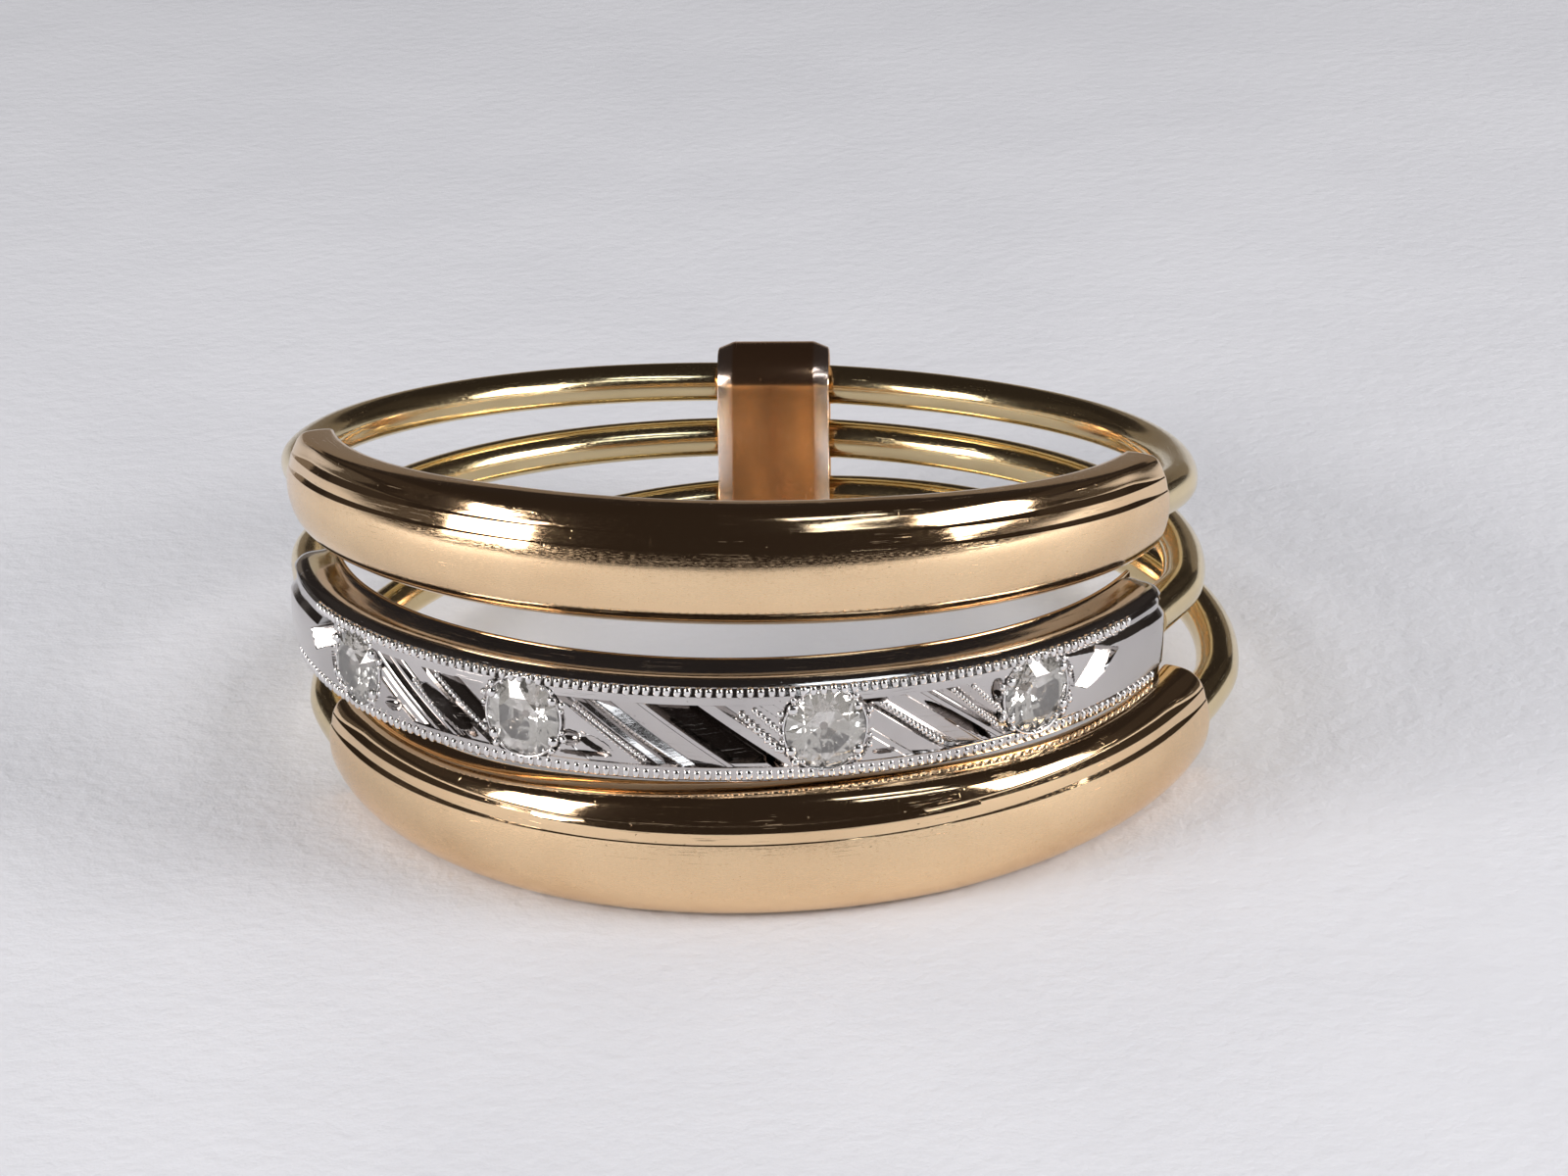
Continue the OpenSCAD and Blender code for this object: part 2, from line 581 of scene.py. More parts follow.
@dataclass
class BandShape:
    """What all three bands have in common: a round wire and a wider section across the front.

    Attributes:
        span: Turn from the front at which the section ends.
        front_r: Radius of its line in the lower band.
        front_shift: How far that line's centre lies in front of the wire's.
        inside: How far the section stands inside its line.
        taper: Share of its height that it loses toward its ends.
        full: Distance to the side where it begins to lose height.
        far: Distance to the side where it has lost it.
        sag: How much higher the wire runs at the back.
        flare: Turn over which the wire reaches its own circle.
    """

    lay: Lay
    height: float
    span: float
    front_r: float = 8.8
    front_shift: float = 0.45
    inside: float = 0.46
    taper: float = 0.13
    full: float = 3.6
    far: float = 9.2
    wire_name: str = "shank"
    sag: float = 0.0
    flare: float = 14.0

    @property
    def section_r(self) -> float:
        """Radius of the line that the front section follows."""
        return self.lay.share * self.front_r

    def on_section(self, turn: Array, out: Array, up: Array) -> Array:
        """Points about the front section's line.

        Args:
            turn: Turn from the front about the section's own centre, in degrees.
            out: Distance outside the line.
            up: Height above the band's middle.

        Returns:
            The points about the wire's centre.
        """
        a = np.radians(turn)
        r = self.section_r + out
        x, y, z = np.broadcast_arrays(r * np.sin(a), -self.front_shift - r * np.cos(a), up)
        return np.stack([x, y, z], -1)

    def kept(self, turn: Array) -> Array:
        """Share of its full height that the section keeps at a turn from the front."""
        x = np.abs(self.section_r * np.sin(np.radians(turn)))
        return 1 - self.taper * np.clip((x - self.full) / (self.far - self.full), 0, None) ** 1.2

    def stations(self, step: float, edge: float) -> tuple[Array, Array]:
        """Turns at which outlines stand, closer together at the rounded ends.

        Args:
            step: Turn from one outline to the next.
            edge: Length of the rounding at each end.

        Returns:
            The turns, and at each the share, from 0 to 1, by which the rounding has pulled it in.
        """
        span = self.span
        edge_turn = math.degrees(edge / self.section_r)
        round_off = np.linspace(0, math.pi / 2, 6)[1:]
        ends, pulled = edge_turn * (1 - np.sin(round_off)), 1 - np.cos(round_off)
        middle = np.linspace(-span + edge_turn, span - edge_turn, int(2 * span / step))
        turns = np.concatenate([-span + ends[::-1], middle, span - ends])
        return turns, np.concatenate([pulled[::-1], 0 * middle, pulled])

    def wire(self, body: Body, finish: Material, sunk: float, out: float) -> None:
        """Builds the round wire, led smoothly out of the ends of the section.

        Args:
            body: The body that it moves with.
            finish: Its finish.
            sunk: Turn by which its ends reach into the section.
            out: How far outside the section's line it leaves the section.
        """
        end = math.radians(self.span)
        own = math.degrees(math.atan2(self.section_r * math.sin(end),
                                      self.front_shift + self.section_r * math.cos(end)))
        polar = np.linspace(own - sunk, 360 - own + sunk, 260)
        a = np.radians(polar)
        section = self.front_shift * np.cos(a) + np.sqrt(
            self.section_r**2 - (self.front_shift * np.sin(a)) ** 2)
        from_front = np.minimum(polar, 360 - polar)
        past = from_front - own
        led = smooth(past, -sunk, self.flare)
        r = (1 - led) * (section + out) + led * self.lay.share * STACK.line_r
        around = np.linspace(0, 2 * np.pi, 33)[:-1]
        thick = STACK.wire_r - 0.003
        reach = r[:, None] + thick * np.cos(around)
        up = thick * np.sin(around) + self.sag * smooth(from_front, 105, 172)[:, None]
        rings = np.stack([reach * np.sin(a)[:, None], -reach * np.cos(a)[:, None], up], -1)
        maker = MeshMaker(self.wire_name)
        maker.sweep(self.lay.place(rings), a * STACK.line_r)
        maker.build(body, Slot.YELLOW, finish, 35)


@dataclass
class DomedBand(BandShape):
    """A plain yellow gold band: a domed front section with two worked lines along its shoulder.

    Attributes:
        face_out: How far the face stands outside the section's line.
        face_r: Radius of the face's dome, from edge to edge.
        lines: Heights of the two worked lines.
        ledge: Height of the step at each line.
        opened: How much wider each line opens toward the ends.
        rounding: Length of the rounding at each end.
        corner: Where the shoulder meets the flat top, outside the section's line.
        swell: How much higher the top's middle is.
    """

    name: str = ""
    node: str = ""
    body: Body = Body.UPPER
    face_out: float = 0.517
    face_r: float = 2.0
    lines: tuple[float, float] = (0.34, 0.64)
    ledge: float = 0.025
    opened: tuple[float, float] = (0.075, 0.105)
    rounding: float = 0.16
    corner: float = 0.10
    swell: float = 0.0

    def outline(self, groove: float) -> Array:
        """The section's closed outline at full height, from the lowest point round the face.

        Args:
            groove: How far the two worked lines are opened, from 0 to 1.

        Returns:
            The outline's points as out and up, one a row.
        """
        half = self.height / 2
        low_up = -0.42 * half

        def face(up: float) -> Array:
            """The face's point at a height."""
            return np.array([self.face_out - self.face_r + math.sqrt(self.face_r**2 - up * up), up])

        def lean(up: float) -> float:
            """Degrees by which the face looks up at a height."""
            return math.degrees(math.asin(up / self.face_r))

        first, second = self.lines
        drops = [self.ledge + groove * wide for wide in self.opened]
        bottom = curve_between(np.array([-0.16, -half]), -86, face(low_up), lean(low_up), 14)
        front = np.array([face(u) for u in np.linspace(low_up, first, 14)[1:]])
        low = front[-1] + drops[0] * np.array([-0.75, 1])
        high = np.array([low[0] - 0.18 * (second - low[1]), second])
        strip = curve_between(low, 9, high, 12, 5)
        lip = high + drops[1] * np.array([-0.8, 1])
        brow = lip + np.array([-0.008, 0.035])
        corner = np.array([self.corner, half - 0.045])
        shoulder = curve_between(brow, 24, corner, 74, 16)
        back = np.array([-0.36, half])
        side = np.array([-self.inside, half - 0.10])
        top = curve_between(corner, 78, back, 90, 8)[1:]
        inner = curve_between(back, 90, side, 178, 7)[1:]
        z = np.linspace(side[1], -side[1], 7)[1:-1]
        hollow = np.stack([-self.inside + 0.02 * (z / half) ** 2, z], 1)
        outside = [bottom, front, strip, lip[None], shoulder]
        return np.concatenate([*outside, top, inner, hollow, inner[::-1] * [1, -1]])

    def build(self, finish: Material, wire_finish: Material) -> None:
        """Builds the band and its wire.

        Args:
            finish: Finish of the section.
            wire_finish: Finish of the wire.
        """
        maker = MeshMaker(self.name)
        turns, pull = self.stations(0.5, self.rounding)
        aside = np.abs(turns)
        opening = smooth(aside, 18, 56) * (1 - smooth(aside, self.span - 12, self.span - 1.5))
        outline = np.array([self.outline(g) for g in opening])
        shrink_out = 1 - pull * self.rounding / 0.5
        shrink_up = self.kept(turns) * (1 - pull * self.rounding / (self.height / 2))
        middle = 0.03
        out = middle + (outline[:, :, 0] - middle) * shrink_out[:, None]
        taller = self.swell * (1 - smooth(aside, 4, 46))
        up = outline[:, :, 1] * shrink_up[:, None] + taller[:, None] * smooth(outline[:, :, 1], 0.7, 1.1)
        rings = self.on_section(turns[:, None], out, up)
        line = self.lines[0]
        below = 1 - smooth(outline[:, :, 1], line - 0.08, line - 0.02)
        rubbed = smooth(outline[:, :, 0], 0.33, 0.42) * below
        maker.sweep(self.lay.place(rings), np.radians(turns) * self.section_r, mark=rubbed)
        maker.build(self.body, Slot.YELLOW, finish, 24, [self.node])
        self.wire(self.body, wire_finish, 3.0, 0.02)


@dataclass
class MiddleBand(BandShape):
    """The yellow gold band that carries the plate: wire, backing and the solder at its ends.

    Attributes:
        plate_in: Where the plate's back lies, outside the section's line.
        rim_out: How far inside the line the rim behind the plate's top begins.
    """

    name: str = "middle_band_gold"
    plate_in: float = -0.18
    rim_out: float = 0.365

    def build(self, finish: Material, wire_finish: Material) -> None:
        """Builds the band and its wire.

        Args:
            finish: Finish of the section.
            wire_finish: Finish of the wire.
        """
        maker = MeshMaker(self.name)
        half = self.height / 2 - 0.004
        a = np.linspace(0, math.pi, 13)
        wide = (self.inside + self.plate_in) / 2
        low = np.stack([self.plate_in - wide + wide * np.cos(a), wide - half - wide * np.sin(a)], 1)
        thin = (self.inside - self.rim_out) / 2
        rim = np.stack([-self.rim_out - thin + thin * np.cos(a), half - thin + thin * np.sin(a)], 1)
        step = [[self.plate_in, 0.78], [-self.rim_out - 0.005, 0.80]]
        outline = np.concatenate([step, rim, low[::-1]])
        turns, pull = self.stations(0.6, 0.05)
        up = outline[None, :, 1] * (self.kept(turns) * (1 - 0.05 * pull))[:, None]
        rings = self.on_section(turns[:, None], outline[None, :, 0] + 0 * up, up)
        maker.sweep(self.lay.place(rings), np.radians(turns) * self.section_r)
        for side in (-1, 1):
            self.solder(maker, side)
        maker.build(Body.MIDDLE, Slot.YELLOW, finish, 35, ["middle_band"])
        self.wire(Body.MIDDLE, wire_finish, 1.2, 0.05)

    def solder(self, maker: MeshMaker, side: int) -> None:
        """Adds the rounded lug of solder between backing, plate and wire at one end.

        Args:
            maker: The piece that it is part of.
            side: -1 for the left end, 1 for the right.
        """
        turns = side * (self.span + np.linspace(-1.15, 1.6, 12))
        swell = np.sqrt(1 - np.linspace(-0.75, 0.995, 12) ** 2)
        a = np.linspace(0, 2 * np.pi, 25)[:-1]
        out = -0.03 + 0.38 * swell[:, None] * np.cos(a)
        up = 0.62 * swell[:, None] * np.sin(a)
        rings = self.on_section(turns[:, None], out, up)
        maker.sweep(self.lay.place(rings), np.radians(turns) * self.section_r)


@dataclass(frozen=True)
class Cut:
    """One facet of the engraving, between two slanted lines.

    Attributes:
        left: Where its left edge crosses the plate's middle line, along the face.
        right: Where its right edge does.
        deep: Depth at the left edge and at the right edge.
        low: Height of its lower end.
        high: Height of its upper end.
        lens: Whether it narrows to a point at both ends.
    """

    left: float
    right: float
    deep: tuple[float, float]
    low: float = FIELD_LOW
    high: float = FIELD_HIGH
    lens: bool = False

    def carve(self, depth: Array, slanted: Array, up: Array) -> Array:
        """Depths with this facet cut into them.

        Args:
            depth: The depths so far.
            slanted: Place along the face where the slanted line through each point crosses the middle.
            up: Height above the plate's middle line.

        Returns:
            The new depths.
        """
        middle, half = (self.low + self.high) / 2, (self.high - self.low) / 2
        narrow = np.sqrt(np.clip(1 - ((up - middle) / half) ** 2, 0, 1)) if self.lens else 1.0
        centre, reach = (self.left + self.right) / 2, (self.right - self.left) / 2 * narrow
        t = 0.5 + (slanted - centre) / np.maximum(2 * reach, 1e-6)
        own = (t >= 0) & (t <= 1) & (up >= self.low) & (up <= self.high)
        return np.where(own, self.deep[0] + (self.deep[1] - self.deep[0]) * t, depth)


@dataclass(frozen=True)
class Pit:
    """One rounded pit of the engraving."""

    run: float
    up: float
    wide: float
    tall: float
    deep: float

    def carve(self, depth: Array, run: Array, up: Array) -> Array:
        """Depths with this pit cut into them."""
        r = np.hypot((run - self.run) / self.wide, (up - self.up) / self.tall)
        return np.where(r < 1, np.maximum(depth, self.deep * np.sqrt(np.clip(1 - r * r, 0, 1))), depth)


@dataclass(frozen=True)
class Facet:
    """A bright flat facet beside an outer stone.

    Attributes:
        corners: Its corners along and up the face, turning one way.
        deep: Depth at its middle.
        fall: How fast it deepens along the face and up it.
    """

    corners: tuple[tuple[float, float], ...]
    deep: float
    fall: tuple[float, float]

    def carve(self, depth: Array, run: Array, up: Array) -> Array:
        """Depths with this facet cut into them.

        Args:
            depth: The depths so far.
            run: Distance along the face.
            up: Height above the plate's middle line.

        Returns:
            The new depths.
        """
        corners = np.array(self.corners)
        middle = corners.mean(0)
        within = np.ones(run.shape, bool)
        for a, b in zip(corners, np.roll(corners, -1, 0)):
            side = (b[0] - a[0]) * (up - a[1]) - (b[1] - a[1]) * (run - a[0])
            within &= side * ((b[0] - a[0]) * (middle[1] - a[1]) - (b[1] - a[1]) * (middle[0] - a[0])) >= 0
        flat = self.deep + self.fall[0] * (run - middle[0]) + self.fall[1] * (up - middle[1])
        return np.where(within, np.clip(flat, 0.0, 0.62), depth)


@dataclass(frozen=True)
class Row:
    """A straight row of small beads raised along one line of the engraving."""

    start: tuple[float, float]
    end: tuple[float, float]
    size: float

    def places(self) -> Array:
        """Where the beads stand, as distances along and up the face.

        Returns:
            The places, one a row.
        """
        start, end = np.array(self.start), np.array(self.end)
        count = int(np.linalg.norm(end - start) / (1.9 * self.size)) + 1
        return start + np.linspace(0, 1, count)[:, None] * (end - start)


@dataclass(frozen=True)
class Edging:
    """One row of millgrain: its height, its two ends, and how far out and how big the grains are."""

    up: float
    first: float
    last: float
    out: float
    size: tuple[float, float, float]


@dataclass
class Plate(BandShape):
    """The white gold plate: a dark shoulder, millgrain and a field cut bright between the stones.

    Attributes:
        out: How far the face stands outside the section's line.
        back: Where the plate's back lies, the same way.
        foot: Height of the face's lower end.
        brow: Height of its upper end.
        drop: How far the stones sit below the middle line.
        seat_r: Radius of a stone's seat.
        ring_r: Radius of the sunk ring round it.
        slant: How far the cuts lean along the face for each millimetre up it.
        bevel_up: Height at which the face turns over into its upper bevel.
        grain_pitch: Distance from one grain of the millgrain to the next.
        bead_turns: Where the four groups of beads stand round a stone.
        rim_r: Radius of the thin rim round a stone.
        rim_half: Half that rim's width, and half its height.
    """

    name: str = "engraved_face"
    out: float = 0.585
    back: float = -0.15
    foot: float = -1.04
    brow: float = 0.775
    drop: float = 0.08
    seat_r: float = 0.79
    ring_r: float = 0.90
    slant: float = 1.38
    bevel_up: float = 0.62
    grain_pitch: float = 0.195
    bead_turns: tuple[float, ...] = (38, 142, 218, 322)
    rim_r: float = 0.800
    rim_half: tuple[float, float] = (0.026, 0.03)
    stone_turns: tuple[float, ...] = (-45.8, -18.1, 18.1, 45.8)
    left_cuts: tuple[Cut, ...] = (
        Cut(-6.60, -3.40, (0.05, 0.05)),
        Cut(-6.30, -6.04, (0.12, 0.03)),
        Cut(-6.04, -5.94, (0.03, 0.03)),
        Cut(-5.94, -5.80, (0.03, 0.15)),
        Cut(-5.80, -5.58, (0.14, 0.03)),
        Cut(-5.58, -5.48, (0.03, 0.03)),
        Cut(-5.48, -5.38, (0.03, 0.12)),
        Cut(-5.38, -5.16, (0.12, 0.05)),
        Cut(-5.34, -4.70, (0.03, 0.30), low=-0.70, high=0.16, lens=True),
        Cut(-4.70, -4.46, (0.13, 0.05)),
        Cut(-4.46, -4.28, (0.09, 0.09)),
        Cut(-4.28, -3.85, (0.03, 0.28), low=-0.60, high=0.42),
        Cut(-3.85, -3.20, (0.12, 0.02), low=0.0))
    middle_cuts: tuple[Cut, ...] = (
        Cut(-2.60, 2.60, (0.04, 0.04)),
        Cut(-2.25, -1.78, (0.12, 0.03), low=-0.62, high=-0.20, lens=True),
        Cut(-1.60, -1.48, (0.03, 0.12)),
        Cut(-1.48, -1.28, (0.12, 0.08)),
        Cut(-1.28, -1.13, (0.07, 0.14)),
        Cut(-1.13, -0.80, (0.13, 0.01)),
        Cut(-0.80, -0.56, (0.01, 0.14)),
        Cut(-0.56, 0.04, (0.12, 0.03)),
        Cut(0.04, 0.16, (0.02, 0.02)),
        Cut(0.16, 0.26, (0.02, 0.20), low=-0.68, high=0.48),
        Cut(0.26, 0.88, (0.20, 0.40), low=-0.68, high=0.48),
        Cut(0.88, 1.16, (0.36, 0.05)),
        Cut(1.16, 1.48, (0.04, 0.03)),
        Cut(1.48, 1.62, (0.03, 0.12)),
        Cut(1.62, 2.30, (0.10, 0.05)))
    right_cuts: tuple[Cut, ...] = (
        Cut(3.40, 7.30, (0.05, 0.05)),
        Cut(3.60, 4.20, (0.09, 0.03)),
        Cut(4.20, 4.32, (0.03, 0.12)),
        Cut(4.32, 4.56, (0.12, 0.06)),
        Cut(4.56, 4.66, (0.06, 0.12)),
        Cut(4.66, 5.03, (0.10, 0.03)),
        Cut(5.03, 5.10, (0.02, 0.02)),
        Cut(5.08, 5.42, (0.03, 0.26), low=-0.74, high=0.26, lens=True),
        Cut(5.42, 5.55, (0.03, 0.03)),
        Cut(5.55, 5.66, (0.03, 0.13)),
        Cut(5.66, 5.92, (0.13, 0.05)),
        Cut(5.92, 6.04, (0.04, 0.13)),
        Cut(6.04, 6.40, (0.13, 0.04)))
    rows: tuple[Row, ...] = (
        Row((-5.52, 0.14), (-4.78, -0.48), 0.044),
        Row((-4.90, 0.38), (-3.76, -0.45), 0.056),
        Row((-1.83, 0.30), (-0.48, -0.66), 0.046),
        Row((1.36, 0.26), (2.02, -0.42), 0.070),
        Row((1.60, 0.34), (2.10, -0.12), 0.058),
        Row((4.02, 0.34), (5.20, -0.61), 0.056),
        Row((5.46, 0.40), (6.40, -0.50), 0.048),
        Row((5.92, 0.38), (6.56, -0.28), 0.048))
    pits: tuple[Pit, ...] = (
        Pit(run=-6.14, up=-0.52, wide=0.24, tall=0.14, deep=0.17),
        Pit(run=-1.94, up=-0.34, wide=0.24, tall=0.15, deep=0.17),
        Pit(run=-1.62, up=-0.63, wide=0.52, tall=0.05, deep=0.20),
        Pit(run=3.89, up=0.41, wide=0.26, tall=0.06, deep=0.24),
        Pit(run=4.05, up=-0.60, wide=0.22, tall=0.05, deep=0.16),
        Pit(run=6.46, up=0.19, wide=0.15, tall=0.27, deep=0.22))
    left_facet: Facet = Facet(
        corners=((-9.38, 0.10), (-8.20, 0.59), (-8.16, 0.15), (-9.26, -0.35)), deep=0.48, fall=(0.70, 0.50))
    right_facet: Facet = Facet(
        corners=((9.05, 0.50), (9.70, 0.28), (8.83, -0.40), (8.36, -0.16)), deep=0.13, fall=(-0.17, 0.46))
    edgings: tuple[Edging, ...] = (
        Edging(up=0.700, first=-9.0, last=10.2, out=0.520, size=(0.070, 0.112, 0.085)),
        Edging(up=-0.945, first=-10.8, last=11.3, out=0.480, size=(0.070, 0.118, 0.072)))

    @property
    def face_r(self) -> float:
        """Radius of the plate's face in plan."""
        return self.section_r + 0.6

    def run(self, turn: float) -> float:
        """Distance along the face at a turn from the front."""
        return math.radians(turn) * self.face_r

    def turn(self, run: Array) -> Array:
        """Turn from the front at a distance along the face."""
        return np.degrees(np.asarray(run) / self.face_r)

    @property
    def stones(self) -> list[float]:
        """Distances of the stones along the face."""
        return [self.run(t) for t in self.stone_turns]

    def depth(self, run: Array, up: Array) -> tuple[Array, Array]:
        """Depth of the engraving below the face, and the darker colour laid in its deepest cuts and seats.

        Args:
            run: Distance along the face.
            up: Height above the plate's middle line.

        Returns:
            The depth and the darkening, from 0 to 1, at each point.
        """
        slanted = run + self.slant * up
        stones = self.stones
        depth = np.zeros(run.shape)
        fields = (self.left_cuts, self.middle_cuts, self.right_cuts)
        for cuts, left, right in zip(fields, stones, stones[1:]):
            cut = depth
            for facet in cuts:
                cut = facet.carve(cut, slanted, up)
            depth = np.where((run > left) & (run < right), cut, depth)
        for pit in self.pits:
            depth = pit.carve(depth, run, up)
        depth = np.where((up > FIELD_HIGH) | (up < FIELD_LOW), 0.0, depth)
        # The deepest cuts are marked for a darker colour.
        darkened = smooth(depth, 0.12, 0.20)
        depth = self.ends(depth, run, up)
        depth = depth + np.clip(up - self.bevel_up, 0, 0.13) * 0.6 + 0.05 * smooth(-up, -FIELD_LOW, 0.80)
        for stone in stones:
            r = np.hypot(run - stone, up + self.drop)
            near = (r < self.ring_r) & (up < self.bevel_up) & (up > -0.82)
            sunk = np.maximum(depth, 0.05 + 0.9 * np.clip(self.ring_r - r, 0, 0.06))
            depth = np.where(near, sunk, depth)
            bowl = np.minimum(0.16 + 0.7 * (1 - r / self.seat_r), 0.68)
            depth = np.where(r < self.seat_r, bowl, depth)
            # The stones' seats are marked darker too.
            darkened = np.where(r < self.seat_r, 0.75, darkened)
        return depth, darkened

    def ends(self, depth: Array, run: Array, up: Array) -> Array:
        """Adds the plain tongues outside the outer stones.

        Args:
            depth: The depths so far.
            run: Distance along the face.
            up: Height above the plate's middle line.

        Returns:
            Depths with the tongues, their upper slope and a bright facet in each.
        """
        outer = self.stones[0], self.stones[-1]
        slopes = (0.60, 0.30, 0.26), (0.50, 0.40, 0.34)
        for side, stone, slope, facet in zip((-1, 1), outer, slopes, (self.left_facet, self.right_facet)):
            past = side * (run - stone)
            brow = np.interp(past, [0.8, 1.6, 4.6], slope)
            depth = np.where(past > 0.6, np.clip(up - brow, 0, 0.16) * 0.7, depth)
            depth = facet.carve(depth, run, up)
        return depth

    def build(self, finish: Material) -> None:
        """Builds the plate as one piece of evenly slanted outlines.

        Args:
            finish: Its finish.
        """
        maker = MeshMaker(self.name)
        end, tip, fine = self.run(self.span), 0.7, 9.9
        coarse = np.linspace(fine, end - tip, 36)[1:]
        tips = end - tip * np.cos(np.linspace(0, math.pi / 2, 22)[1:])
        columns = np.concatenate([np.linspace(-fine, fine, 704), coarse, tips])
        columns = np.concatenate([-tips[::-1], -coarse[::-1], columns])
        rows = np.linspace(self.foot, self.brow, 96)
        left = end - np.abs(columns)
        shear = self.slant * smooth(left, 1.6, 4.4)
        pull = 1 - np.sqrt(1 - np.clip(1 - left / tip, 0, 1) ** 2)
        rest = self.rest_of_outline()
        run = columns[:, None] - shear[:, None] * rows
        full = rows + 0 * run
        depth, darkened = self.depth(run, full)
        face_out = self.out - 0.05 * (full + self.drop) ** 2 - depth
        rest_run = columns[:, None] - shear[:, None] * np.clip(rest[:, 1], self.foot, 0.8)
        out = np.concatenate([face_out, rest[:, 0] + 0 * rest_run], 1)
        out = self.back + (out - self.back) * (1 - 0.40 * pull[:, None])
        up = np.concatenate([rows, rest[:, 1]])[None, :] * np.ones_like(out)
        up = up * (1 - np.where(up > 0, 0.10, 0.03) * pull[:, None])
        up = up * self.kept(self.turn(columns))[:, None]
        turns = self.turn(np.concatenate([run, rest_run], 1))
        darkened = np.concatenate([darkened, 0 * rest_run], 1)
        maker.sweep(self.lay.place(self.on_section(turns, out, up)), columns, mark=darkened)
        maker.build(Body.MIDDLE, Slot.WHITE, finish, 22, ["engraved_plate"])

    def rest_of_outline(self) -> Array:
        """The outline past the face, as out and up: shoulder, flange over the backing, back and toe.

        Returns:
            Its points, one a row.
        """
        shoulder = curve_between(np.array([0.482, 0.795]), 30, np.array([-0.13, 1.005]), 80, 14)
        flange = [[-0.24, 1.024], [-0.315, 1.03], [-0.345, 1.012], [-0.345, 0.92]]
        back = [[self.back, 0.90], [self.back, -1.0]]
        toe = [[0.10, -1.085], [0.40, -1.085], [0.455, -1.07]]
        return np.concatenate([shoulder, flange, back, toe])

    def grains(self, finish: Material) -> None:
        """Builds the two rows of millgrain along the edges of the face.

        Args:
            finish: Their finish.
        """
        maker = MeshMaker("millgrain")
        chance = np.random.default_rng(7)
        for row in self.edgings:
            along, up, out = row.size
            for run in np.arange(row.first, row.last, self.grain_pitch):
                left = 1 - 0.3 * chance.random() ** 2
                shift = chance.normal(0, 0.006, 2)
                bead(maker, self, run + shift[0], row.up + shift[1], row.out, (along, up, out * left))
        maker.build(Body.MIDDLE, Slot.WHITE, finish, 60)

    def setting_beads(self, finish: Material) -> None:
        """Builds the beads raised round each stone and its seat's rim.

        Args:
            finish: Their finish.
        """
        maker = MeshMaker("setting_beads")
        chance = np.random.default_rng(11)
        middle, beside = [(0, 0.105, 0.80)], ((12, 0.070, 0.94), (21, 0.050, 0.86))
        cluster = middle + [(side * step, size, reach) for step, size, reach in beside for side in (1, -1)]
        for row in self.rows:
            for run, up in row.places():
                grow = row.size * (1 + chance.normal(0, 0.07))
                bead(maker, self, run, up, self.out - 0.055, (grow, grow, grow))
        for stone in self.stones:
            self.rim(maker, stone)
            for turn in self.bead_turns:
                for step, size, reach in cluster:
                    a = math.radians(turn + step + chance.normal(0, 2))
                    grow = size * (1 + chance.normal(0, 0.08))
                    run, up = stone + reach * math.cos(a), reach * 0.84 * math.sin(a) - self.drop
                    bead(maker, self, run, up, self.out - 0.045, (grow, grow, 0.8 * grow))
        maker.build(Body.MIDDLE, Slot.WHITE, finish, 60)

    def rim(self, maker: MeshMaker, stone: float) -> None:
        """Adds the thin rim of metal that closes over one stone's girdle.

        Args:
            maker: The piece that it is part of.
            stone: The stone's distance along the face.
        """
        a = np.linspace(0, 2 * np.pi, 49)[:-1]
        b = np.linspace(0, 2 * np.pi, 13)[:-1]
        wide, tall = self.rim_half
        r = self.rim_r + wide * np.cos(b)[None, :] + 0 * a[:, None]
        run = stone + r * np.cos(a)[:, None]
        up = r * np.sin(a)[:, None] - self.drop
        out = self.out - 0.070 + tall * np.sin(b)[None, :] + 0 * a[:, None]
        rings = self.on_section(self.turn(run), out, up)
        rings = np.concatenate([rings, rings[:1]])
        maker.sweep(self.lay.place(rings), np.append(a, 2 * np.pi), caps=False)


def ball() -> tuple[Array, list[tuple[int, int, int]]]:
    """A ball of radius 1 as an even net of triangles.

    Returns:
        Its points, one a row, and its faces.
    """
    mesh = bpy.data.meshes.new("ball")
    work = bmesh.new()
    bmesh.ops.create_icosphere(work, subdivisions=2, radius=1.0)
    work.to_mesh(mesh)
    work.free()
    points = np.array([v.co[:] for v in mesh.vertices])
    faces = [tuple(p.vertices) for p in mesh.polygons]
    bpy.data.meshes.remove(mesh)
    return points, faces


BALL = ball()


def bead(maker: MeshMaker, plate: Plate, run: float, up: float, out: float,
         size: tuple[float, float, float]) -> None:
    """Adds a rounded grain of metal to the plate's face.

    Args:
        maker: The piece that it is part of.
        plate: The plate that it stands on.
        run: Distance along the face.
        up: Height above the plate's middle line.
        out: Distance of its middle from the section's line.
        size: Half its length along, up and out of the face.
    """
    keep = float(plate.kept(plate.turn(run)))
    points = np.sign(BALL[0]) * np.abs(BALL[0]) ** (0.75, 0.75, 1.0) * size
    place = plate.on_section(plate.turn(run + points[:, 0]), out + points[:, 2], up * keep + points[:, 1])
    flip = [f[::-1] for f in BALL[1]]
    maker.add(plate.lay.place(place), flip)


